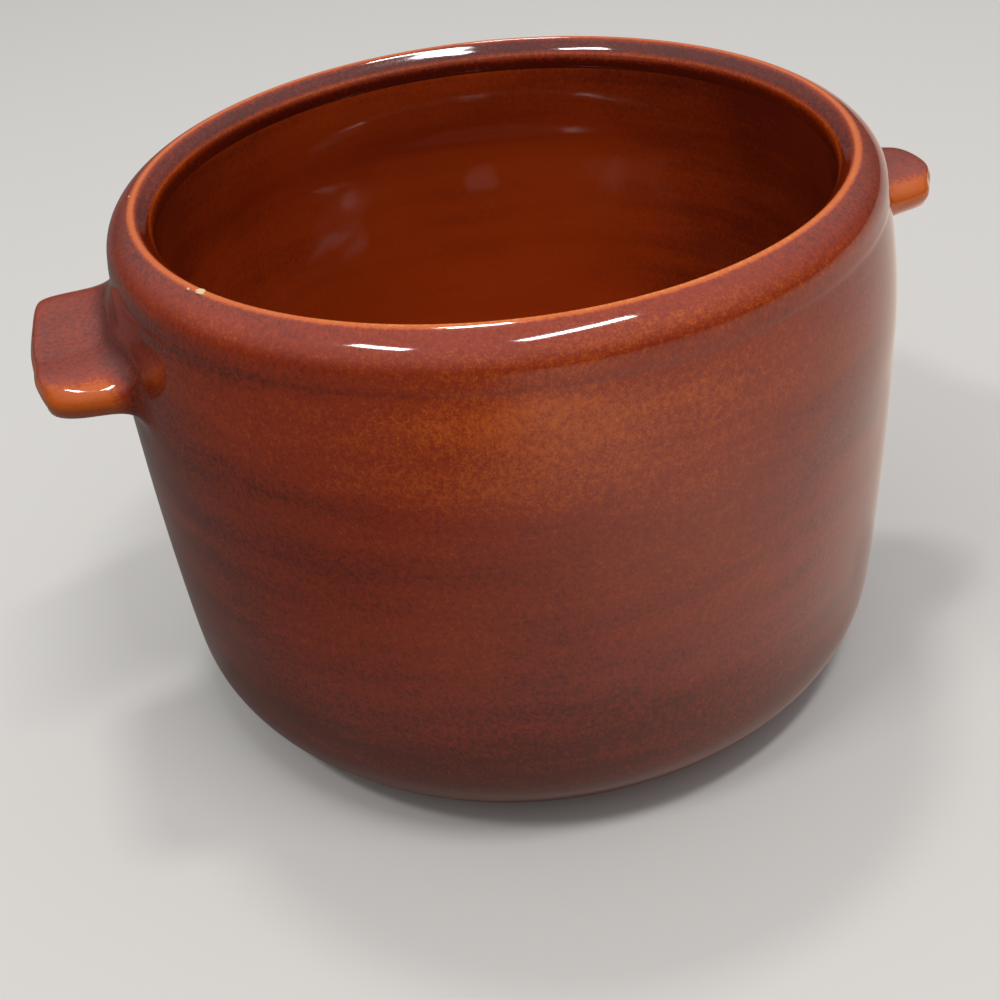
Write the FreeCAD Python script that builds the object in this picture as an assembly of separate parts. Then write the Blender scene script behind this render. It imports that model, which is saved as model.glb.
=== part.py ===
import FreeCAD, Part
import math
import os
from collections import namedtuple

# Open stoneware bean pot with two lug handles, in millimetres.
# +Z is up, the origin is on the table under the middle of the pot, and the lugs point along X.
# Every radius and height of the outline is that of the finished, glazed surface.

# Driving sizes of the pot
HEIGHT = 130.0
CREST_RADIUS = 80.0
BODY_RADIUS = 91.2
FOOT_RADIUS = 68.0
GLAZE = 0.5

# Foot and floor
FOOT_RING = 7.0
FOOT_HOLLOW = 1.6
FLOOR_TOP = 8.0
FLOOR_FLAT_RADIUS = 62.0

# Outside outline, from the foot up, as (radius, height)
GLAZE_STOP = (71.0, 2.6)
HEEL = (83.7, 8.2)
HEEL_TOP = (90.4, 24.0)
WALL = (BODY_RADIUS, 55.0)
WALL_TOP = (91.1, 86.0)
SHOULDER = (89.85, 106.0)
COLLAR_LINE = (87.5, HEIGHT - 10.5)
ROLL = (86.2, HEIGHT - 4.6)
ROLL_TOP = (81.5, HEIGHT - 0.3)
CREST_OUTER = (80.7, HEIGHT - 0.06)
CREST = (CREST_RADIUS, HEIGHT)

# Inside outline, from the crest down over the narrow lid seat
CREST_INNER = (79.5, HEIGHT - 0.14)
SEAT_TOP = (79.0, HEIGHT - 0.5)
SEAT = (78.0, HEIGHT - 1.5)
SEAT_FOOT = (77.1, HEIGHT - 2.7)
LIP = (76.5, HEIGHT - 3.7)
LIP_FOOT = (76.3, HEIGHT - 4.9)
NECK = (77.7, 112.5)
NECK_FOOT = (81.6, 100.0)
INNER_WALL = (83.2, 64.0)
INNER_WALL_FOOT = (82.4, 29.0)
FLOOR_CORNER = (76.8, 13.6)

# Lug handles, formed by hand and so not alike
Lug = namedtuple("Lug", "tip_half_width wall_half_width corner groove_depth groove_offset")
RIGHT_LUG = Lug(12.0, 15.5, 9.5, 0.0, 0.0)
LEFT_LUG = Lug(22.3, 25.5, 11.5, 1.9, 4.5)
LUG_REACH = 107.5
LUG_BOTTOM = 98.2
LUG_TOP = 107.0
LUG_ROUNDING = 3.6
LUG_START = 78.0
GROOVE_SLOPE = 5.0

# Slip between each lug and the wall, and the hollow fillet of glass that pools round it
SLIP_THICKNESS = 1.0
SLIP_SPREAD = 1.6
POOL_RADIUS = 6.5

# Small distance that tells an edge of the tip from one of the root, or clears a face before a cut
CLEAR = 1.0

ORIGIN = FreeCAD.Vector(0, 0, 0)
UP = FreeCAD.Vector(0, 0, 1)
OUTWARD = FreeCAD.Vector(1, 0, 0)


def outside_arcs():
    """Arcs of the glazed outside, from the foot up to the crest, each as three (radius, height) points."""
    return [
        (GLAZE_STOP, HEEL, HEEL_TOP),
        (HEEL_TOP, WALL, WALL_TOP),
        (WALL_TOP, SHOULDER, COLLAR_LINE),
        (COLLAR_LINE, ROLL, ROLL_TOP),
        (ROLL_TOP, CREST_OUTER, CREST),
    ]


def inside_arcs():
    """Arcs of the glazed inside, from the crest down to the flat of the floor, as three points each."""
    return [
        (CREST, CREST_INNER, SEAT_TOP),
        (SEAT_TOP, SEAT, SEAT_FOOT),
        (SEAT_FOOT, LIP, LIP_FOOT),
        (LIP_FOOT, NECK, NECK_FOOT),
        (NECK_FOOT, INNER_WALL, INNER_WALL_FOOT),
        (INNER_WALL_FOOT, FLOOR_CORNER, (FLOOR_FLAT_RADIUS, FLOOR_TOP)),
    ]


def circle_centre(a, b, c):
    """Centre of the circle through three (radius, height) points."""
    ax, ay = a
    bx, by = b[0] - ax, b[1] - ay
    cx, cy = c[0] - ax, c[1] - ay
    turn = 2.0 * (bx * cy - by * cx)
    b_square = bx * bx + by * by
    c_square = cx * cx + cy * cy
    return (
        ax + (cy * b_square - by * c_square) / turn,
        ay + (bx * c_square - cx * b_square) / turn,
    )


def sunk_arc(arc, depth):
    """The arc moved square to itself into the clay, which lies on the right of its run."""
    a, b, c = arc
    centre = circle_centre(a, b, c)
    turn = (b[0] - a[0]) * (c[1] - a[1]) - (b[1] - a[1]) * (c[0] - a[0])
    side = 1.0 if turn > 0 else -1.0
    moved = []
    for point in arc:
        away = (point[0] - centre[0], point[1] - centre[1])
        reach = math.hypot(away[0], away[1])
        moved.append((point[0] - side * depth * away[0] / reach, point[1] - side * depth * away[1] / reach))
    return moved


def sunk_chain(arcs, depth):
    """The arcs sunk by depth, with the ends of neighbours brought to one point."""
    chain = [sunk_arc(arc, depth) for arc in arcs]
    for before, after in zip(chain, chain[1:]):
        joint = ((before[2][0] + after[0][0]) / 2.0, (before[2][1] + after[0][1]) / 2.0)
        before[2] = joint
        after[0] = joint
    return chain


def in_section(point):
    """A (radius, height) point in the section plane."""
    return FreeCAD.Vector(point[0], 0, point[1])


def arc_edges(chain):
    """Edges along a chain of three-point arcs."""
    edges = []
    for a, b, c in chain:
        edges.append(Part.Arc(in_section(a), in_section(b), in_section(c)).toShape())
    return edges


def line_edges(points):
    """Straight edges from point to point."""
    edges = []
    for start, end in zip(points, points[1:]):
        edges.append(Part.makeLine(in_section(start), in_section(end)))
    return edges


def turned(edges):
    """The solid turned from a closed section about the pot's axis, its seam away from the lugs."""
    wire = Part.Wire(Part.__sortEdges__(edges))
    solid = Part.Face(wire).revolve(ORIGIN, UP, 360)
    solid.rotate(ORIGIN, UP, 90)
    return solid


def outside_chain(depth):
    """The outside, sunk by depth, with the crest straight above its own point."""
    chain = sunk_chain(outside_arcs(), depth)
    chain[-1][2] = (CREST_RADIUS, HEIGHT - depth)
    return chain


def inside_chain(depth):
    """The inside, sunk by depth, from the crest to the flat of the floor."""
    chain = sunk_chain(inside_arcs(), depth)
    chain[0][0] = (CREST_RADIUS, HEIGHT - depth)
    chain[-1][2] = (FLOOR_FLAT_RADIUS, FLOOR_TOP - depth)
    return chain


def foot_points():
    """The bare underside, from the axis out to the foot's edge."""
    return [
        (0.0, FOOT_HOLLOW),
        (FOOT_RADIUS - FOOT_RING - FOOT_HOLLOW, FOOT_HOLLOW),
        (FOOT_RADIUS - FOOT_RING, 0.0),
        (FOOT_RADIUS, 0.0),
    ]


def pot_clay():
    """The turned vessel, under its glaze."""
    outside = outside_chain(GLAZE)
    inside = inside_chain(GLAZE)
    edges = line_edges(foot_points() + [outside[0][0]])
    edges += arc_edges(outside)
    edges += arc_edges(inside)
    edges += line_edges([inside[-1][2], (0.0, FLOOR_TOP - GLAZE), (0.0, FOOT_HOLLOW)])
    return turned(edges)


def pot_filled(depth):
    """The pot's outside, sunk by depth, as a solid block with no hollow."""
    clay = outside_chain(GLAZE)
    low = clay[0][0]
    high = clay[-1][2]
    closing = [high, (0.0, high[1]), (0.0, low[1]), low]
    if depth == GLAZE:
        return turned(arc_edges(clay) + line_edges(closing))
    other = outside_chain(depth)
    return turned(arc_edges(other) + line_edges([other[-1][2]] + closing + [other[0][0]]))


def inside_coat():
    """The glass over the lid seat, the inner wall and the floor."""
    glass = inside_chain(0.0)
    clay = inside_chain(GLAZE)
    rim = [glass[0][0], clay[0][0]]
    floor = [glass[-1][2], (0.0, FLOOR_TOP), (0.0, FLOOR_TOP - GLAZE), clay[-1][2]]
    return turned(arc_edges(glass) + arc_edges(clay) + line_edges(rim) + line_edges(floor))


def lug_block(lug, grow):
    """One lug's tab along +X with its edges still square, grown all round."""
    reach = LUG_REACH - GLAZE + grow
    bottom = LUG_BOTTOM + GLAZE - grow
    height = LUG_TOP - LUG_BOTTOM - 2.0 * (GLAZE - grow)
    wall = lug.wall_half_width - GLAZE + grow
    tip = lug.tip_half_width - GLAZE + grow
    plan = [
        FreeCAD.Vector(LUG_START, -wall, bottom),
        FreeCAD.Vector(reach, -tip, bottom),
        FreeCAD.Vector(reach, tip, bottom),
        FreeCAD.Vector(LUG_START, wall, bottom),
    ]
    return Part.Face(Part.makePolygon(plan + plan[:1])).extrude(UP * height)


def lug_tab(lug, grow):
    """One lug's tab along +X, rounded all round and grown by the coat's thickness."""
    block = lug_block(lug, grow)
    corners =[edge for edge in block.Edges if is_upright(edge) and edge.CenterOfMass.x > LUG_START + CLEAR]
    tab = block.makeFillet(lug.corner + grow, corners)
    rims = [edge for edge in tab.Edges if not is_upright(edge) and edge.CenterOfMass.x > LUG_START + CLEAR]
    tab = tab.makeFillet(LUG_ROUNDING + grow, rims)
    if lug.groove_depth > 0.0:
        tab = tab.cut(lug_groove(lug, grow))
    return tab


def is_upright(edge):
    """True for an edge that runs straight up."""
    box = edge.BoundBox
    return box.ZLength > box.XLength + box.YLength


def lug_groove(lug, grow):
    """The wedge that presses the shallow groove along the lug's top."""
    top = LUG_TOP - GLAZE + grow
    half = GROOVE_SLOPE * (lug.groove_depth + CLEAR)
    x = LUG_START - CLEAR
    middle = lug.groove_offset
    corners = [
        FreeCAD.Vector(x, middle, top - lug.groove_depth),
        FreeCAD.Vector(x, middle + half, top + CLEAR),
        FreeCAD.Vector(x, middle - half, top + CLEAR),
    ]
    face = Part.Face(Part.makePolygon(corners + corners[:1]))
    return face.extrude(OUTWARD * (LUG_REACH - LUG_START + 2.0 * CLEAR))


def root_edges(shape):
    """The edges along which the lugs meet the wall."""
    edges = []
    for edge in shape.Edges:
        box = edge.BoundBox
        beside_lug = box.ZMin > LUG_BOTTOM - CLEAR and box.ZMax < LUG_TOP + CLEAR
        if beside_lug and max(abs(box.XMin), abs(box.XMax)) < BODY_RADIUS + CLEAR:
            edges.append(edge)
    return edges


def slip_pad(lug, wall, block):
    """The layer of slip between a lug along +X and the wall, a little larger than the lug's root."""
    pad = lug_block(lug, SLIP_SPREAD)
    pad = pad.makeFillet(SLIP_SPREAD, [edge for edge in pad.Edges if edge.BoundBox.XLength > SLIP_SPREAD])
    return pad.common(wall).cut(block)


def glazed_block():
    """The filled pot with both grown lugs, and the pool of glass round their roots."""
    tabs = [lug_tab(RIGHT_LUG, GLAZE), other_side(lug_tab(LEFT_LUG, GLAZE))]
    joined = pot_filled(0.0).fuse(tabs)
    return joined.makeFillet(POOL_RADIUS, root_edges(joined))


def other_side(shape):
    """The shape turned half round to the other side of the pot."""
    copy = shape.copy()
    copy.rotate(ORIGIN, UP, 180)
    return copy


def write(shape, name):
    """Write one node's solid and print what it measures."""
    solids = shape.Solids
    out = solids[0] if len(solids) == 1 else Part.makeCompound(solids)
    out.exportStep(os.path.join("parts", name + ".step"))
    box = out.BoundBox
    size = (round(box.XMin, 2), round(box.XMax, 2), round(box.YLength, 2), round(box.ZMin, 2), round(box.ZMax, 2))
    print(name, "solids", len(solids), "valid", out.isValid(), "volume", round(out.Volume, 1), "box", size)


def main():
    os.makedirs("parts", exist_ok=True)
    block = pot_filled(GLAZE)
    slip_face = pot_filled(GLAZE - SLIP_THICKNESS)
    right_lug = lug_tab(RIGHT_LUG, 0.0).cut(slip_face)
    left_lug = other_side(lug_tab(LEFT_LUG, 0.0).cut(slip_face))
    right_slip = slip_pad(RIGHT_LUG, slip_face, block)
    left_slip = other_side(slip_pad(LEFT_LUG, slip_face, block))
    clay = block.fuse([right_slip, left_slip, right_lug, left_lug])
    write(pot_clay(), "pot_body")
    write(right_lug, "right_lug")
    write(left_lug, "left_lug")
    write(right_slip, "right_lug_slip")
    write(left_slip, "left_lug_slip")
    write(glazed_block().cut(clay), "outside_glaze")
    write(inside_coat(), "inside_glaze")


main()
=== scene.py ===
import logging
import math
from dataclasses import dataclass
from enum import Enum

import bmesh
import bpy
from mathutils import Matrix, Vector, noise


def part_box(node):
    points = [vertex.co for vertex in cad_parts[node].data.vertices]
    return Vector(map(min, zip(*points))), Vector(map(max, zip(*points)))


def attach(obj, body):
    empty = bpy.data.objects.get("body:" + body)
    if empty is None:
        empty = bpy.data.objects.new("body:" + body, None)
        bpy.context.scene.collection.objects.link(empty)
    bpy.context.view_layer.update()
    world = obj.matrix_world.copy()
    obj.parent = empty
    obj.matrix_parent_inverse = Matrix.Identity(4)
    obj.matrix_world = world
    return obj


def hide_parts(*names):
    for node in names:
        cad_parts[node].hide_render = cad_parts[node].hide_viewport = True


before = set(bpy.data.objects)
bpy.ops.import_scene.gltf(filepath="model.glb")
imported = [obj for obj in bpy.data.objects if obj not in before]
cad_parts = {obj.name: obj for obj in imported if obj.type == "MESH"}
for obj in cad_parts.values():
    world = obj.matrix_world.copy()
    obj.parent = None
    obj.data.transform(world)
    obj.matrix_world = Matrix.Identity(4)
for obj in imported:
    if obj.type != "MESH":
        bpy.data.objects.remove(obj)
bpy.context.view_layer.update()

MM = 0.001
PHOTO_SIDE = 1000.0
SENSOR_WIDTH = 36.0
BODY = "root"
CLAY_NODES = ("pot_body", "right_lug", "left_lug", "right_lug_slip", "left_lug_slip")
ROUND_STEPS = 60
SMOOTH_LEVEL = 2
WAVER_SCALE = 11.0
WAVER_RISE_SCALE = 16.0
STILL_RADIUS = 5.0
NEAR_ONE = 0.99
NEAR_TOP = 0.9
LOG = logging.getLogger("bean_pot")

Point = tuple[float, float]
Colour = tuple[float, float, float]


def srgb(red: int, green: int, blue: int) -> Colour:
    """Turn a colour as a screen shows it into the linear one that shaders read.

    Args:
        red: 0 to 255.
        green: 0 to 255.
        blue: 0 to 255.

    Returns:
        The linear colour.
    """
    parts = []
    for value in (red, green, blue):
        level = value / 255.0
        parts.append(level / 12.92 if level <= 0.04045 else ((level + 0.055) / 1.055) ** 2.4)
    return (parts[0], parts[1], parts[2])


def arc_points(start: Point, middle: Point, end: Point, count: int) -> list[Point]:
    """Divide the arc through three points.

    Args:
        start: First (radius, height) point.
        middle: A point between the ends.
        end: Last point.
        count: How many equal steps.

    Returns:
        The points, the first and the last among them.
    """
    ax, ay = start
    bx, by = middle[0] - ax, middle[1] - ay
    cx, cy = end[0] - ax, end[1] - ay
    turn = 2.0 * (bx * cy - by * cx)
    b_square = bx * bx + by * by
    c_square = cx * cx + cy * cy
    ox = ax + (cy * b_square - by * c_square) / turn
    oy = ay + (bx * c_square - cx * b_square) / turn
    radius = math.hypot(ax - ox, ay - oy)
    first = math.atan2(ay - oy, ax - ox)
    sweep = math.atan2(end[1] - oy, end[0] - ox) - first
    way = 1.0 if turn > 0 else -1.0
    sweep = way * ((way * sweep) % math.tau)
    return [
        (
            ox + radius * math.cos(first + sweep * step / count),
            oy + radius * math.sin(first + sweep * step / count),
        )
        for step in range(count + 1)
    ]


def joined(arcs: list[list[Point]]) -> list[Point]:
    """Chain arcs that meet end to start.

    Args:
        arcs: The arcs, each one starting where the one before it ends.

    Returns:
        All their points, with each shared point kept once.
    """
    chain = list(arcs[0])
    for arc in arcs[1:]:
        chain += arc[1:]
    return chain


def height_between(points: list[Point], height: float) -> Point:
    """Find the point of a rising outline at one height.

    Args:
        points: The outline, from low to high.
        height: The height in millimetres.

    Returns:
        The (radius, height) point.
    """
    for low, high in zip(points, points[1:]):
        if low[1] <= height <= high[1]:
            share = (height - low[1]) / (high[1] - low[1])
            return (low[0] + share * (high[0] - low[0]), height)
    raise ValueError(f"no point at height {height}")


def bell(value: float, middle: float, spread: float) -> float:
    """Give 1 at the middle of a band, and less the further a value is from it."""
    return math.exp(-(((value - middle) / spread) ** 2))


def turned_shell(outline: list[Point], steps: int) -> bmesh.types.BMesh:
    """Spin an outline about the pot's axis.

    Args:
        outline: (radius, height) points in millimetres; a radius of 0 makes a pole.
        steps: How many columns of faces go round.

    Returns:
        The open shell, with its normals all to the same side.
    """
    bm = bmesh.new()
    verts = [bm.verts.new((radius * MM, 0.0, height * MM)) for radius, height in outline]
    edges = [bm.edges.new(pair) for pair in zip(verts, verts[1:])]
    bmesh.ops.spin(
        bm,
        geom=verts + edges,
        cent=(0.0, 0.0, 0.0),
        axis=(0.0, 0.0, 1.0),
        angle=math.tau,
        steps=steps,
        use_merge=True,
    )
    bmesh.ops.remove_doubles(bm, verts=bm.verts[:], dist=0.02 * MM)
    bmesh.ops.recalc_face_normals(bm, faces=bm.faces[:])
    return bm


def azimuth(point: Vector) -> float:
    """Angle of a point about the pot's axis, in degrees from the right lug."""
    return math.degrees(math.atan2(point.y, point.x))


def hand_made(point: Vector, swell: float) -> Vector:
    """How far the turned wall strays from a true circle at a point.

    Args:
        point: The place on the wall, in metres.
        swell: The largest stray, in millimetres.

    Returns:
        The move, square to the axis.
    """
    away = Vector((point.x, point.y, 0.0))
    if away.length < STILL_RADIUS * MM:
        return Vector((0.0, 0.0, 0.0))
    place = (point.x * WAVER_SCALE, point.y * WAVER_SCALE, point.z * WAVER_RISE_SCALE)
    wave = noise.noise(Vector(place))
    return away.normalized() * (wave * swell * MM)


@dataclass
class Network:
    """A small helper that adds and links shader nodes in one tree."""

    tree: bpy.types.NodeTree

    def add(self, kind: str, **settings: object) -> bpy.types.Node:
        """Add a node of a kind, with its properties set."""
        node = self.tree.nodes.new(kind)
        for name, value in settings.items():
            setattr(node, name, value)
        return node

    def put(self, socket: bpy.types.NodeSocket, source: object) -> None:
        """Feed a socket from another socket, or set its plain value."""
        if isinstance(source, bpy.types.NodeSocket):
            self.tree.links.new(source, socket)
        else:
            socket.default_value = source

    def maths(self, operation: str, first: object, second: object) -> bpy.types.NodeSocket:
        """Work out one value from two."""
        node = self.add("ShaderNodeMath", operation=operation)
        self.put(node.inputs[0], first)
        self.put(node.inputs[1], second)
        return node.outputs[0]

    def ramp(
        self,
        value: object,
        low: float,
        high: float,
        start: float = 0.0,
        end: float = 1.0,
    ) -> bpy.types.NodeSocket:
        """Ease from start to end as a value runs from low to high.

        Args:
            value: The value that runs.
            low: Where the result is still start.
            high: Where the result is already end.
            start: The result below low.
            end: The result above high.

        Returns:
            The eased result.
        """
        node = self.add("ShaderNodeMapRange", interpolation_type="SMOOTHSTEP", clamp=True)
        for index, source in enumerate((value, low, high, start, end)):
            self.put(node.inputs[index], source)
        return node.outputs[0]

    def blend(self, amount: object, first: object, second: object) -> bpy.types.NodeSocket:
        """Mix two colours."""
        node = self.add("ShaderNodeMix", data_type="RGBA", clamp_factor=True)
        self.put(node.inputs["Factor"], amount)
        for name, source in (("A", first), ("B", second)):
            socket = next(s for s in node.inputs if s.name == name and s.type == "RGBA")
            self.put(socket, source if isinstance(source, bpy.types.NodeSocket) else (*source, 1.0))
        return next(s for s in node.outputs if s.type == "RGBA")

    def sway(self, value: object, strength: object) -> bpy.types.NodeSocket:
        """Centre a 0 to 1 value on nought and scale it."""
        return self.maths("MULTIPLY", self.maths("SUBTRACT", value, 0.5), strength)

    def principled(self) -> bpy.types.Node:
        """Find the Principled shader that a new material starts with."""
        return next(n for n in self.tree.nodes if n.type == "BSDF_PRINCIPLED")

    def cloud(
        self,
        place: object,
        scale: float,
        detail: float = 2.0,
        roughness: float = 0.5,
        stretch: Colour = (1.0, 1.0, 1.0),
    ) -> bpy.types.NodeSocket:
        """Make soft noise.

        Args:
            place: The coordinates that it reads.
            scale: Waves per metre.
            detail: How many finer layers it has.
            roughness: How strong the finer layers are.
            stretch: A factor on the scale along each axis.

        Returns:
            The noise, about 0 to 1.
        """
        mapping = self.add("ShaderNodeMapping")
        self.put(mapping.inputs["Vector"], place)
        self.put(mapping.inputs["Scale"], stretch)
        node = self.add("ShaderNodeTexNoise", noise_dimensions="3D")
        self.put(node.inputs["Vector"], mapping.outputs[0])
        self.put(node.inputs["Scale"], scale)
        self.put(node.inputs["Detail"], detail)
        self.put(node.inputs["Roughness"], roughness)
        return node.outputs["Fac"]


@dataclass(frozen=True)
class FiredGlazePattern:
    """The glaze's own pattern: scales in waves per metre, and how far each noise moves the colour."""

    fine_scale: float = 900.0
    grain_scale: float = 2400.0
    streak_scale: float = 22.0
    streak_flatness: float = 7.0
    patch_scale: float = 17.0
    patch_strength: float = 0.5
    peel_scale: float = 120.0
    peel_height: float = 0.8
    fine_height: float = 0.02
    gloss: Point = (0.045, 0.12)

    def group(self) -> bpy.types.NodeTree:
        """Build the group that all glazes share.

        Returns:
            A node group with the colours, Thin, Speckle and Streak as inputs.
        """
        group = bpy.data.node_groups.new("fired_glaze", "ShaderNodeTree")
        face = group.interface
        for name in ("Deep", "Brown", "Thin Colour", "Edge Colour"):
            face.new_socket(name=name, in_out="INPUT", socket_type="NodeSocketColor")
        for name in ("Thin", "Speckle", "Streak"):
            face.new_socket(name=name, in_out="INPUT", socket_type="NodeSocketFloat")
        face.new_socket(name="Color", in_out="OUTPUT", socket_type="NodeSocketColor")
        face.new_socket(name="Roughness", in_out="OUTPUT", socket_type="NodeSocketFloat")
        face.new_socket(name="Height", in_out="OUTPUT", socket_type="NodeSocketFloat")
        net = Network(group)
        given = net.add("NodeGroupInput").outputs
        out = net.add("NodeGroupOutput").inputs
        place = net.add("ShaderNodeTexCoord").outputs["Object"]
        flat = (1.0, 1.0, self.streak_flatness)
        fine = net.cloud(place, self.fine_scale, detail=3.0, roughness=0.62)
        grain = net.cloud(place, self.grain_scale, detail=2.0, roughness=0.6)
        streak = net.cloud(place, self.streak_scale, detail=4.0, roughness=0.6, stretch=flat)
        patch = net.cloud(place, self.patch_scale, detail=3.0, roughness=0.55)
        peel = net.cloud(place, self.peel_scale, detail=1.0)
        level = net.maths("ADD", given["Thin"], net.sway(streak, given["Streak"]))
        level = net.maths("ADD", level, net.sway(patch, self.patch_strength))
        level = net.maths("ADD", level, net.sway(fine, given["Speckle"]))
        level = net.maths("ADD", level, net.sway(grain, given["Speckle"]))
        brown = net.blend(net.ramp(level, 0.0, 0.5), given["Deep"], given["Brown"])
        thin = net.blend(net.ramp(level, 0.45, 1.05), brown, given["Thin Colour"])
        edge = net.blend(net.ramp(level, 1.15, 1.9), thin, given["Edge Colour"])
        net.put(out["Color"], edge)
        net.put(out["Roughness"], net.ramp(grain, 0.3, 0.8, *self.gloss))
        peel_rise = net.maths("MULTIPLY", peel, self.peel_height)
        fine_rise = net.maths("MULTIPLY", fine, self.fine_height)
        net.put(out["Height"], net.maths("ADD", peel_rise, fine_rise))
        return group


@dataclass(frozen=True)
class GlazeFinish:
    """Glossy brown stoneware glaze, orange where it runs thin over an edge, and lighter or darker where the
    thin attribute carries painted light and shade.
    """

    name: str
    deep: Colour
    brown: Colour
    thin: Colour
    edge: Colour
    speckle: float
    streak: float
    refraction: float = 1.54
    coat: Point = (0.12, 0.03)
    bump: Point = (0.12, 0.4)

    def material(self, pattern: bpy.types.NodeTree) -> bpy.types.Material:
        """Build the material.

        Args:
            pattern: The shared group that colours fired glaze.

        Returns:
            The material, which reads the mesh's own thin attribute: glaze thinness with painted light and
            shade mixed in.
        """
        material = bpy.data.materials.new(self.name)
        material.use_nodes = True
        net = Network(material.node_tree)
        shader = net.principled()
        glaze = net.add("ShaderNodeGroup", node_tree=pattern)
        net.put(glaze.inputs["Deep"], (*self.deep, 1.0))
        net.put(glaze.inputs["Brown"], (*self.brown, 1.0))
        net.put(glaze.inputs["Thin Colour"], (*self.thin, 1.0))
        net.put(glaze.inputs["Edge Colour"], (*self.edge, 1.0))
        net.put(glaze.inputs["Speckle"], self.speckle)
        net.put(glaze.inputs["Streak"], self.streak)
        # the thin attribute holds real glaze thinness plus painted light and shade on the walls
        thin = net.add("ShaderNodeAttribute", attribute_name="thin")
        net.put(glaze.inputs["Thin"], thin.outputs["Fac"])
        bump = net.add("ShaderNodeBump")
        net.put(bump.inputs["Height"], glaze.outputs["Height"])
        net.put(bump.inputs["Strength"], self.bump[0])
        net.put(bump.inputs["Distance"], self.bump[1] * MM)
        net.put(shader.inputs["Base Color"], glaze.outputs["Color"])
        net.put(shader.inputs["Roughness"], glaze.outputs["Roughness"])
        net.put(shader.inputs["Normal"], bump.outputs["Normal"])
        net.put(shader.inputs["IOR"], self.refraction)
        net.put(shader.inputs["Coat Weight"], self.coat[0])
        net.put(shader.inputs["Coat Roughness"], self.coat[1])
        return material


@dataclass(frozen=True)
class BareClayFinish:
    """Unglazed buff stoneware, sandy and dull."""

    name: str
    buff: Colour
    dark: Colour
    speck: Colour
    sand_scale: float = 900.0
    stain_scale: float = 45.0
    speck_scale: float = 420.0
    bump: Point = (0.5, 0.25)

    def material(self) -> bpy.types.Material:
        """Build the material.

        Returns:
            The material, whose pattern follows Object coordinates.
        """
        material = bpy.data.materials.new(self.name)
        material.use_nodes = True
        net = Network(material.node_tree)
        shader = net.principled()
        place = net.add("ShaderNodeTexCoord").outputs["Object"]
        sand = net.cloud(place, self.sand_scale, detail=4.0, roughness=0.7)
        stain = net.cloud(place, self.stain_scale, detail=3.0)
        specks = net.ramp(net.cloud(place, self.speck_scale, detail=1.0), 0.68, 0.74)
        base = net.blend(net.ramp(stain, 0.3, 0.75, 0.0, 0.6), self.buff, self.dark)
        base = net.blend(net.maths("MULTIPLY", specks, 0.6), base, self.speck)
        bump = net.add("ShaderNodeBump")
        net.put(bump.inputs["Height"], sand)
        net.put(bump.inputs["Strength"], self.bump[0])
        net.put(bump.inputs["Distance"], self.bump[1] * MM)
        net.put(shader.inputs["Base Color"], base)
        net.put(shader.inputs["Roughness"], net.ramp(sand, 0.2, 0.8, 0.72, 0.92))
        net.put(shader.inputs["Normal"], bump.outputs["Normal"])
        return material


class Facing(Enum):
    """Which way the glass of a turned shell looks."""

    AWAY_FROM_AXIS = 1.0
    TOWARDS_AXIS = -1.0


def face_the_glass(bm: bmesh.types.BMesh, facing: Facing) -> None:
    """Turn every face of a shell so that its widest stretch looks the right way.

    Args:
        bm: The shell.
        facing: Which way its glass looks.
    """
    widest = max(bm.faces, key=lambda f: Vector(f.calc_center_median().xy).length - abs(f.normal.z))
    away = Vector((*widest.calc_center_median().xy, 0.0))
    if widest.normal.dot(away) * facing.value < 0.0:
        bmesh.ops.reverse_faces(bm, faces=bm.faces[:])


def thickened(name: str, bm: bmesh.types.BMesh, thickness: float) -> bpy.types.Object:
    """Make a shell into a smooth closed piece.

    Args:
        name: The piece's name.
        bm: The shell's cage, which is freed.
        thickness: How thick the glass is behind its surface, in millimetres.

    Returns:
        The finished object, at the origin.
    """
    mesh = bpy.data.meshes.new(name)
    bm.to_mesh(mesh)
    bm.free()
    mesh.polygons.foreach_set("use_smooth", [True] * len(mesh.polygons))
    piece = bpy.data.objects.new(name, mesh)
    bpy.context.scene.collection.objects.link(piece)
    wall = piece.modifiers.new("glass", "SOLIDIFY")
    wall.thickness = thickness * MM
    wall.offset = -1.0
    smooth = piece.modifiers.new("smooth", "SUBSURF")
    smooth.levels = SMOOTH_LEVEL
    smooth.render_levels = SMOOTH_LEVEL
    return piece


def settled(name: str, bm: bmesh.types.BMesh, finish: bpy.types.Material) -> bpy.types.Object:
    """Make a mesh into a smooth piece with one finish.

    Args:
        name: The piece's name.
        bm: Its mesh, which is freed.
        finish: Its material.

    Returns:
        The finished object, at the origin.
    """
    mesh = bpy.data.meshes.new(name)
    bm.to_mesh(mesh)
    bm.free()
    mesh.polygons.foreach_set("use_smooth", [True] * len(mesh.polygons))
    mesh.materials.append(finish)
    piece = bpy.data.objects.new(name, mesh)
    bpy.context.scene.collection.objects.link(piece)
    return piece


@dataclass(frozen=True)
class LugRing:
    """One ring of a lug's cage, in millimetres.

    The share runs from 0 at the wall to 1 at the tip; front and back are the width to each side.
    """

    share: float
    front: float
    back: float
    half_thickness: float


@dataclass(frozen=True)
class Lug:
    """One hand-formed lug, in millimetres."""

    side: float
    columns: int
    reach: float
    edge_roll: float
    tip_set_back: float
    crease_depth: float
    crease_at_wall: float
    crease_at_tip: float
    rings: tuple[LugRing, ...]


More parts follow.
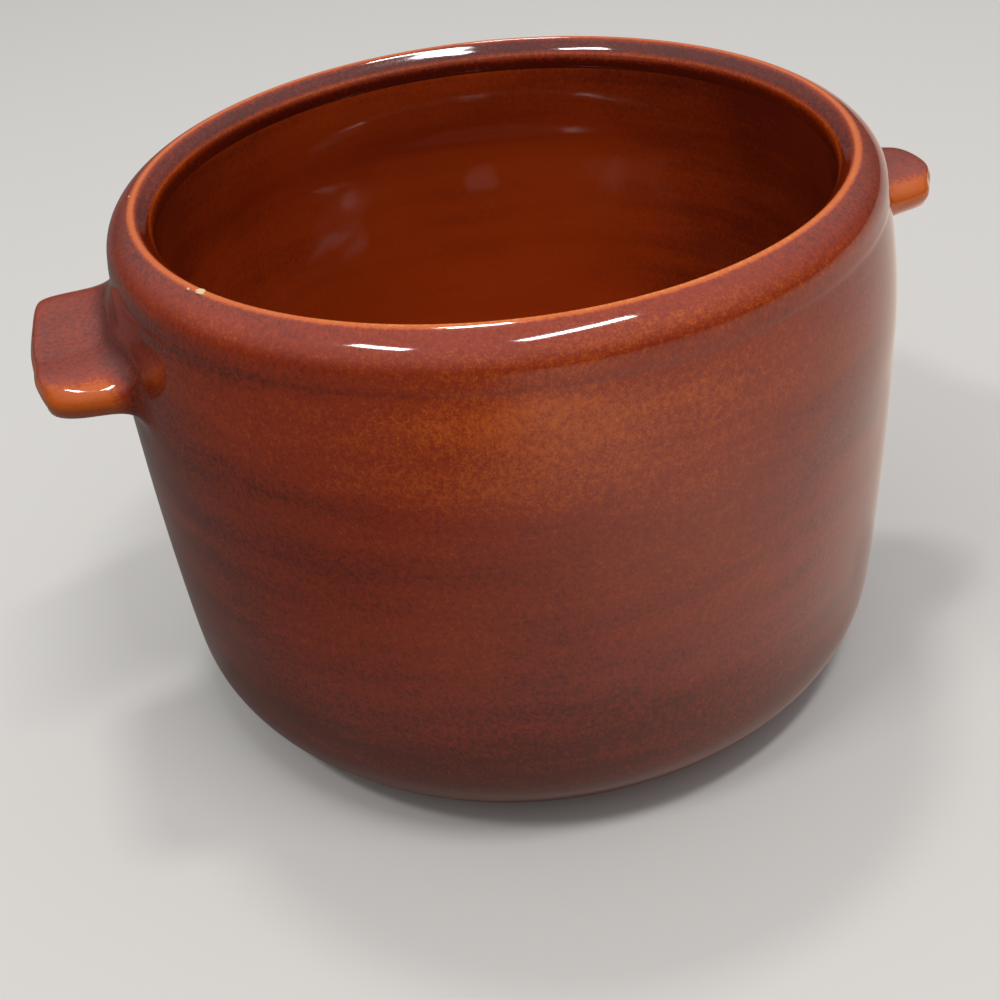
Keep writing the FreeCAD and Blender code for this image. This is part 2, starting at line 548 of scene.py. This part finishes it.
RIGHT_LUG = Lug(
    side=1.0,
    columns=2,
    reach=112.6,
    edge_roll=4.2,
    tip_set_back=3.6,
    crease_depth=0.0,
    crease_at_wall=0.0,
    crease_at_tip=0.0,
    rings=(
        LugRing(0.10, 18.4, 18.4, 6.2),
        LugRing(0.28, 16.0, 15.8, 5.2),
        LugRing(0.56, 14.6, 14.2, 5.0),
        LugRing(0.80, 13.4, 12.8, 4.9),
        LugRing(0.87, 11.5, 10.9, 4.5),
        LugRing(1.00, 7.6, 7.2, 2.6),
    ),
)
LEFT_LUG = Lug(
    side=-1.0,
    columns=3,
    reach=109.1,
    edge_roll=4.2,
    tip_set_back=1.6,
    crease_depth=1.6,
    crease_at_wall=-3.5,
    crease_at_tip=-6.0,
    rings=(
        LugRing(0.10, 28.2, 28.2, 6.2),
        LugRing(0.30, 27.0, 27.0, 5.2),
        LugRing(0.60, 26.0, 26.6, 5.0),
        LugRing(0.82, 24.0, 26.4, 4.9),
        LugRing(0.93, 20.8, 25.6, 4.5),
        LugRing(1.00, 14.8, 23.4, 2.7),
    ),
)


@dataclass
class GlazedOutside:
    """The outside coat: heel, wall, shoulder, rolled rim, lid seat and the glass over both lugs."""

    height: float
    body_radius: float
    glass: float = 0.5
    swell: float = 0.2
    lug_middle: float = 102.6
    lug_rows: tuple[float, ...] = (-1.0, -0.5, 0.0, 0.5, 1.0)
    root_half_height: float = 8.8
    root_corner: float = 0.76
    root_spread_degrees: float = 1.0
    root_sink: float = 1.2
    roll_ends: float = 0.5
    edge_thickness: float = 0.64
    edge_rounding: float = 1.9
    tip_rounding: float = 1.1
    crease_sharpness: float = 0.9
    crease_tip_share: float = 0.4

    def outline(self) -> list[Point]:
        """Draw the cage's outline.

        Returns:
            Its points, from the foot up over the crest and down to the lip of the neck.
        """
        top, body = self.height, self.body_radius
        heel_top = (body - 0.8, 24.0)
        wall_top = (body - 0.1, 86.0)
        collar = (87.5, top - 10.5)
        heel = arc_points((71.0, 2.6), (83.7, 8.2), heel_top, 6)
        wall = arc_points(heel_top, (body, 55.0), wall_top, 5)
        rise = arc_points(wall_top, (body - 1.35, 106.0), collar, 40)
        rows = [self.lug_middle + row * self.root_half_height for row in self.lug_rows]
        rows = [90.0] + rows + [top - 15.0, top - 11.4]
        shoulder = [wall_top] + [height_between(rise, row) for row in rows] + [collar]
        roll = [(87.55, top - 9.6)] + arc_points((87.3, top - 8.4), (85.7, top - 3.5), (82.4, top - 0.75), 4)
        ridge = [(81.4, top - 0.3), (80.5, top + 0.1), (79.8, top + 0.15), (79.2, top - 0.25)]
        seat = [(78.6, top - 0.95), (77.9, top - 1.7), (77.2, top - 2.5)]
        lip = [(76.7, top - 3.3), (76.4, top - 4.3), (76.3, top - 5.4)]
        lip += [(76.45, top - 6.8), (76.75, top - 7.8), (77.4, top - 8.6)]
        return joined([heel, wall, shoulder]) + roll + ridge + seat + lip

    def in_root(self, centre: Vector, lug: Lug) -> bool:
        """True for a wall face that one lug grows from."""
        turn = azimuth(Vector((centre.x * lug.side, centre.y, 0.0)))
        rise = abs(centre.z / MM - self.lug_middle)
        return abs(turn) < lug.columns * 360.0 / ROUND_STEPS and rise < self.root_half_height

    def across_lug(self, lug: Lug, u: float, ring: LugRing) -> float:
        """Say how far to one side a column of the lug's cage is.

        Args:
            lug: The lug.
            u: -1 at the front edge to 1 at the back edge.
            ring: The ring that the column crosses.

        Returns:
            The distance in millimetres, less than nought to the front.
        """
        width = ring.back if u > 0.0 else ring.front
        column = round(abs(u) * lug.columns)
        if column == lug.columns:
            return math.copysign(width, u)
        even = width / lug.columns
        last = even + (lug.edge_roll - even) * min(1.0, ring.share / self.roll_ends)
        return u * (width - last) * lug.columns / (lug.columns - 1)

    def pull_lug(self, bm: bmesh.types.BMesh, lug: Lug) -> None:
        """Draw one lug out of the wall, ring by ring.

        Args:
            bm: The turned shell.
            lug: Its sizes.
        """
        across = bm.verts.layers.float["across"]
        upward = bm.verts.layers.float["upward"]
        out = bm.verts.layers.float["out"]
        faces = [f for f in bm.faces if self.in_root(f.calc_center_median(), lug)]
        sector = lug.columns * 360.0 / ROUND_STEPS
        for vert in {v for f in faces for v in f.verts}:
            turn = azimuth(Vector((vert.co.x * lug.side, vert.co.y, 0.0)))
            vert[across] = turn / sector
            vert[upward] = (vert.co.z / MM - self.lug_middle) / self.root_half_height
            spread = lug.side * vert[across] ** 3 * self.root_spread_degrees
            vert.co = Matrix.Rotation(math.radians(spread), 3, "Z") @ vert.co
            if abs(vert[across]) > NEAR_ONE and abs(vert[upward]) > NEAR_ONE:
                height = self.lug_middle + vert[upward] * self.root_corner * self.root_half_height
                scale = height_between(self.outline(), height)[0] * MM / Vector(vert.co.xy).length
                vert.co = Vector((vert.co.x * scale, vert.co.y * scale, height * MM))
        for number, ring in enumerate(lug.rings, start=1):
            grown = bmesh.ops.extrude_face_region(bm, geom=faces)["geom"]
            bmesh.ops.delete(bm, geom=faces, context="FACES")
            faces = [item for item in grown if isinstance(item, bmesh.types.BMFace)]
            for vert in (item for item in grown if isinstance(item, bmesh.types.BMVert)):
                vert.co = self.on_lug(lug, ring, vert[across], vert[upward])
                vert[out] = number / len(lug.rings)
                if number > 1:
                    self.sharpen_crease(bm, lug, vert)

    def sharpen_crease(self, bm: bmesh.types.BMesh, lug: Lug, vert: bmesh.types.BMVert) -> None:
        """Keep the crease sharp where it runs through one corner of the cage.

        Args:
            bm: The cage.
            lug: The lug.
            vert: The corner.
        """
        across = bm.verts.layers.float["across"]
        upward = bm.verts.layers.float["upward"]
        sharp = bm.edges.layers.float["crease_edge"]
        if not self.in_crease(lug, vert[across]) or vert[upward] <= NEAR_TOP:
            return
        for edge in vert.link_edges:
            other = edge.other_vert(vert)
            if self.in_crease(lug, other[across]) and other[upward] > NEAR_TOP:
                edge[sharp] = self.crease_sharpness

    def on_lug(self, lug: Lug, ring: LugRing, u: float, w: float) -> Vector:
        """Find where one corner of the lug's cage goes.

        Args:
            lug: The lug.
            ring: Its ring.
            u: -1 at the front edge to 1 at the back edge.
            w: -1 at the underside to 1 at the top.

        Returns:
            The place, in metres.
        """
        y = self.across_lug(lug, u, ring)
        z = w * ring.half_thickness
        if abs(u) > NEAR_ONE:
            y -= math.copysign(self.edge_rounding * w * w, u)
            z *= self.edge_thickness
        wall = math.sqrt((self.body_radius - self.root_sink) ** 2 - y * y)
        tip = lug.reach - lug.tip_set_back * u * u
        if ring.share > NEAR_ONE:
            tip -= self.tip_rounding * w * w
        x = wall + ring.share * (tip - wall)
        if self.in_crease(lug, u):
            y = lug.crease_at_wall + ring.share * (lug.crease_at_tip - lug.crease_at_wall)
            z -= lug.crease_depth * max(0.0, w) ** 2
            if ring.share > NEAR_ONE:
                x -= self.crease_tip_share * lug.crease_depth
        return Vector((lug.side * x, y, self.lug_middle + z)) * MM

    def in_crease(self, lug: Lug, u: float) -> bool:
        """True on the column of the lug's cage that a finger pressed in."""
        return lug.crease_depth > 0.0 and round(u * lug.columns) == -1

    def thinness(self, bm: bmesh.types.BMesh) -> None:
        """Write how thin the glaze has run at each point, with painted light and shade added on the turned
        wall.

        0 is deep brown, 1 orange and 2 nearly bare.

        Args:
            bm: The cage, with its lugs drawn out.
        """
        thin = bm.verts.layers.float["thin"]
        across = bm.verts.layers.float["across"]
        upward = bm.verts.layers.float["upward"]
        out = bm.verts.layers.float["out"]
        for vert in bm.verts:
            if vert[out] > 0.3:
                side_edge = abs(vert[across]) ** 4
                tip = max(0.0, vert[out] - 0.75) / 0.25
                vert[thin] = 0.3 + 0.85 * side_edge + 0.4 * tip * (1.0 - side_edge)
                continue
            radius = Vector(vert.co.xy).length / MM
            vert[thin] = self.wall_thinness_and_painted_light(vert.co.z / MM, radius, azimuth(vert.co))

    def wall_thinness_and_painted_light(self, height: float, radius: float, turn: float) -> float:
        """Say how thin the glaze is on the turned wall and the rim, with painted light and shade mixed in.

        Args:
            height: Millimetres above the table.
            radius: Millimetres from the axis.
            turn: Degrees from the right lug.

        Returns:
            The thinness with the painted light and shade, 0 for deep brown.
        """
        below = self.height - height
        if radius < 79.0 and below < 2.8:
            return 0.12
        if radius < 77.3 and below < 12.0:
            return 0.95 * bell(below, 3.6, 0.7)
        # painted light and shade: the wall is painted more orange on the side facing the camera and darker
        # beside the lug roots, where shade falls; crest, roll and foot are real thin glaze, while band and
        # belly are real thin glaze brightened by this painted light
        front = max(0.0, math.cos(math.radians(turn + 96.0)))
        painted_lug_shade = bell(math.sin(math.radians(turn)), 0.0, 0.42)
        crest = 1.3 * bell(radius, 80.1, 0.9) * bell(below, 0.0, 0.8)
        roll = 0.26 * bell(below, 3.0, 4.2)
        band = (0.04 + 0.5 * front**1.5) * bell(height, 111.0, 17.0) * (1.0 - 0.8 * painted_lug_shade)
        belly = (0.06 + 0.3 * front) * bell(height, 70.0, 34.0)
        foot = 0.8 * bell(height, 3.0, 3.0)
        return 0.06 + max(crest, roll) + band + belly + foot

    def build(self) -> bpy.types.Object:
        """Make the coat as one closed piece.

        Returns:
            The piece.
        """
        bm = turned_shell(self.outline(), ROUND_STEPS)
        face_the_glass(bm, Facing.AWAY_FROM_AXIS)
        for layer in ("across", "upward", "out", "thin"):
            bm.verts.layers.float.new(layer)
        bm.edges.layers.float.new("crease_edge")
        for vert in bm.verts:
            vert.co += hand_made(vert.co, self.swell)
        for lug in (RIGHT_LUG, LEFT_LUG):
            self.pull_lug(bm, lug)
        self.thinness(bm)
        bmesh.ops.remove_doubles(bm, verts=bm.verts[:], dist=0.01 * MM)
        return thickened("glazed_outside", bm, self.glass)


@dataclass
class GlazedInside:
    """The liner: the neck, the inner wall and the floor under the same brown glaze."""

    height: float
    glass: float = 0.45
    swell: float = 0.18

    def outline(self) -> list[Point]:
        """Draw the cage's outline.

        Returns:
            Its points, from behind the lip of the coat down to the middle of the floor.
        """
        top = self.height
        neck_foot = (81.6, 100.0)
        wall_foot = (82.4, 29.0)
        hidden = [(76.85, top - 5.8), (76.65, top - 7.0)]
        neck = arc_points((76.5, top - 8.2), (77.9, top - 18.6), neck_foot, 5)
        wall = arc_points(neck_foot, (83.2, 64.0), wall_foot, 6)
        corner = arc_points(wall_foot, (76.8, 13.6), (62.0, 8.0), 6)
        floor = [(46.0, 8.0), (28.0, 8.05), (12.0, 8.0), (0.0, 8.0)]
        return hidden + joined([neck, wall, corner]) + floor

    def build(self) -> bpy.types.Object:
        """Make the liner as one closed piece.

        Returns:
            The piece.
        """
        bm = turned_shell(self.outline(), ROUND_STEPS)
        face_the_glass(bm, Facing.TOWARDS_AXIS)
        thin = bm.verts.layers.float.new("thin")
        for vert in bm.verts:
            vert.co += hand_made(vert.co, self.swell)
            height = vert.co.z / MM
            # painted light and shade: the inner back wall facing the camera is painted lighter, the neck
            # just under the rim darker, and the floor and the foot of the inner wall lighter
            back = max(0.0, math.cos(math.radians(azimuth(vert.co) - 88.0)))
            neck = bell(height, 124.0, 9.0)
            painted_floor_light = bell(height, 12.0, 12.0)
            vert[thin] = 0.12 + 0.3 * back - 0.14 * neck + 0.1 * painted_floor_light
        return thickened("glazed_inside", bm, self.glass)


@dataclass(frozen=True)
class Chip:
    """One bare spot in the glaze, in millimetres: where it is, and how large."""

    name: str
    turn: float
    radius: float
    height: float
    length: float
    width: float
    lift: float


@dataclass
class Blemishes:
    """Small bare spots on the crest, where the glaze has come away from the clay."""

    height: float
    chips: tuple[Chip, ...] = (
        Chip("crest_chip", -149.5, 80.3, -0.1, 2.8, 1.7, 0.45),
        Chip("crest_pinhole", -151.8, 80.9, -0.25, 0.8, 0.6, 0.3),
        Chip("left_pinhole", 169.5, 80.9, -0.25, 0.7, 0.5, 0.3),
    )

    def build(self, chip: Chip, clay: bpy.types.Material) -> bpy.types.Object:
        """Make one bare spot as a low uneven lens.

        Args:
            chip: The spot.
            clay: The material of bare clay.

        Returns:
            The piece.
        """
        bm = bmesh.new()
        bmesh.ops.create_icosphere(bm, subdivisions=3, radius=1.0)
        for vert in bm.verts:
            vert.co *= 1.0 + 0.3 * noise.noise(vert.co * 1.7 + Vector((chip.turn, 0.0, 0.0)))
        shape = Matrix.Diagonal((chip.width * 0.5, chip.length * 0.5, chip.lift, 1.0))
        spot = Matrix.Translation((chip.radius, 0.0, self.height + chip.height))
        place = Matrix.Rotation(math.radians(chip.turn), 4, "Z") @ spot
        bmesh.ops.transform(bm, matrix=Matrix.Scale(MM, 4) @ place @ shape, verts=bm.verts[:])
        return settled(chip.name, bm, clay)


@dataclass(frozen=True)
class SoftLamp:
    """A soft lamp: degrees round from the camera to its right, degrees up, metres away, and watts."""

    name: str
    turn: float
    lift: float
    away: float
    size: Point
    power: float

    def hang(self, lug_turn: float) -> None:
        """Hang the lamp so that it looks at the pot.

        Args:
            lug_turn: How many degrees the pot is turned to the camera.
        """
        data = bpy.data.lights.new(self.name, "AREA")
        data.shape = "RECTANGLE"
        data.size, data.size_y = self.size
        data.energy = self.power
        lamp = bpy.data.objects.new(self.name, data)
        angle = math.radians(self.turn - 90.0 - lug_turn)
        rise = math.radians(self.lift)
        flat = self.away * math.cos(rise)
        spot = Vector((flat * math.cos(angle), flat * math.sin(angle), self.away * math.sin(rise)))
        lamp.location = spot
        lamp.rotation_euler = (LAMPS_LOOK_AT - spot).to_track_quat("-Z", "Y").to_euler()
        bpy.context.scene.collection.objects.link(lamp)


LAMPS_LOOK_AT = Vector((0.0, 0.0, 0.08))
LAMPS = (
    SoftLamp("window", -52.0, 60.0, 1.6, (0.34, 0.12), 6.0),
    SoftLamp("second_window", 39.0, 72.0, 1.6, (0.62, 0.12), 9.0),
    SoftLamp("ceiling", 192.0, 74.0, 1.9, (0.26, 0.16), 8.0),
)


@dataclass
class Studio:
    """Camera, floor and world."""

    focal_pixels: float = 1304.7
    pitch: float = 36.16
    yaw: float = -1.285
    roll: float = -6.375
    distance: float = 282.4
    camera_height: float = 239.5
    lug_turn: float = 14.0
    floor_half_side: float = 4.0
    floor_roughness: float = 0.6
    floor_seen: Colour = (0.5, 0.485, 0.46)
    # painted shade and light: the floor colour that reflections and bounce see, darker to the camera's left
    # and lighter to its right
    painted_shade_left: Colour = (0.1, 0.08, 0.07)
    painted_light_right: Colour = (0.64, 0.52, 0.44)
    painted_light_span: Point = (-0.14, 0.16)
    room: Colour = (0.88, 0.88, 0.9)
    horizon_light: float = 0.12
    zenith_light: float = 0.95
    backdrop_light: float = 0.7

    def camera(self) -> None:
        """Stand the camera where the photograph was taken from."""
        pitch, yaw, roll = (math.radians(a) for a in (self.pitch, self.yaw, self.roll))
        ahead = Vector((math.sin(yaw) * math.cos(pitch), math.cos(yaw) * math.cos(pitch), -math.sin(pitch)))
        level = Vector((math.cos(yaw), -math.sin(yaw), 0.0))
        above = level.cross(ahead)
        right = math.cos(roll) * level + math.sin(roll) * above
        upward = -math.sin(roll) * level + math.cos(roll) * above
        turn = Matrix((right, upward, -ahead)).transposed().to_4x4()
        place = Matrix.Translation(Vector((0.0, -self.distance, self.camera_height)) * MM)
        data = bpy.data.cameras.new("photo_camera")
        data.sensor_width = SENSOR_WIDTH
        data.sensor_fit = "HORIZONTAL"
        data.lens = SENSOR_WIDTH * self.focal_pixels / PHOTO_SIDE
        data.clip_start = 0.01
        eye = bpy.data.objects.new("photo_camera", data)
        eye.matrix_world = Matrix.Rotation(math.radians(-self.lug_turn), 4, "Z") @ place @ turn
        bpy.context.scene.collection.objects.link(eye)
        bpy.context.scene.camera = eye

    def floor(self) -> None:
        """Lay a plain pale floor. The camera sees it evenly pale; in reflections and bounced light its
        colour is painted shade on the camera's left and painted light on its right.
        """
        bm = bmesh.new()
        bmesh.ops.create_grid(bm, x_segments=1, y_segments=1, size=self.floor_half_side)
        mesh = bpy.data.meshes.new("floor")
        bm.to_mesh(mesh)
        bm.free()
        floor = bpy.data.objects.new("floor", mesh)
        bpy.context.scene.collection.objects.link(floor)
        material = bpy.data.materials.new("pale_floor")
        material.use_nodes = True
        net = Network(material.node_tree)
        shader = net.principled()
        seen = net.add("ShaderNodeLightPath").outputs["Is Camera Ray"]
        split = net.add("ShaderNodeSeparateXYZ")
        net.put(split.inputs[0], net.add("ShaderNodeTexCoord").outputs["Object"])
        turn = math.radians(self.lug_turn)
        along_x = net.maths("MULTIPLY", split.outputs["X"], math.cos(turn))
        along_y = net.maths("MULTIPLY", split.outputs["Y"], -math.sin(turn))
        # painted shade and light on the floor, seen only in reflections and bounce: dark on the left, light
        # on the right
        share = net.ramp(net.maths("ADD", along_x, along_y), *self.painted_light_span)
        painted_bounce = net.blend(share, self.painted_shade_left, self.painted_light_right)
        net.put(shader.inputs["Base Color"], net.blend(seen, painted_bounce, self.floor_seen))
        net.put(shader.inputs["Roughness"], self.floor_roughness)
        mesh.materials.append(material)

    def world(self) -> None:
        """Fill the room with soft pale light, strongest overhead."""
        world = bpy.data.worlds.new("room")
        world.use_nodes = True
        net = Network(world.node_tree)
        background = next(n for n in world.node_tree.nodes if n.type == "BACKGROUND")
        net.put(background.inputs["Color"], (*self.room, 1.0))
        split = net.add("ShaderNodeSeparateXYZ")
        net.put(split.inputs[0], net.add("ShaderNodeTexCoord").outputs["Generated"])
        light = net.ramp(split.outputs["Z"], 0.0, 0.9, self.horizon_light, self.zenith_light)
        seen = net.add("ShaderNodeLightPath").outputs["Is Camera Ray"]
        level = net.add("ShaderNodeMix", data_type="FLOAT")
        for index, source in ((0, seen), (2, light), (3, self.backdrop_light)):
            net.put(level.inputs[index], source)
        net.put(background.inputs["Strength"], level.outputs[0])
        bpy.context.scene.world = world

    def build(self) -> None:
        """Set up everything that isn't the pot."""
        self.camera()
        self.floor()
        self.world()
        for lamp in LAMPS:
            lamp.hang(self.lug_turn)
        bpy.context.scene.view_settings.view_transform = "Standard"


OUTSIDE_GLAZE = GlazeFinish(
    name="outside_glaze",
    deep=srgb(80, 22, 9),
    brown=srgb(132, 41, 8),
    thin=srgb(182, 82, 14),
    edge=srgb(220, 148, 68),
    speckle=0.75,
    streak=0.6,
)
INSIDE_GLAZE = GlazeFinish(
    name="inside_glaze",
    deep=srgb(84, 24, 12),
    brown=srgb(162, 58, 14),
    thin=srgb(190, 98, 28),
    edge=srgb(206, 146, 70),
    speckle=0.25,
    streak=0.35,
)
BARE_CLAY = BareClayFinish(
    name="bare_clay",
    buff=srgb(205, 180, 140),
    dark=srgb(164, 128, 88),
    speck=srgb(92, 62, 40),
)


def main() -> None:
    """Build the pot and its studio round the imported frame."""
    logging.basicConfig(level=logging.INFO, format="%(message)s")
    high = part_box("outside_glaze")[1]
    top = high[2] / MM
    pattern = FiredGlazePattern().group()
    clay = BARE_CLAY.material()
    for name in CLAY_NODES:
        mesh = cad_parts[name].data
        mesh.materials.clear()
        mesh.materials.append(clay)
        LOG.info("dressed %s", name)
    outside = GlazedOutside(height=top, body_radius=high[1] / MM).build()
    outside.data.materials.append(OUTSIDE_GLAZE.material(pattern))
    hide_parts("outside_glaze")
    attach(outside, "root")
    inside = GlazedInside(height=top).build()
    inside.data.materials.append(INSIDE_GLAZE.material(pattern))
    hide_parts("inside_glaze")
    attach(inside, "root")
    LOG.info("built %s and %s", outside.name, inside.name)
    blemishes = Blemishes(height=top)
    for chip in blemishes.chips:
        piece = blemishes.build(chip, clay)
        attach(piece, "root")
        LOG.info("built %s", piece.name)
    Studio().build()


if __name__ == "__main__":
    main()
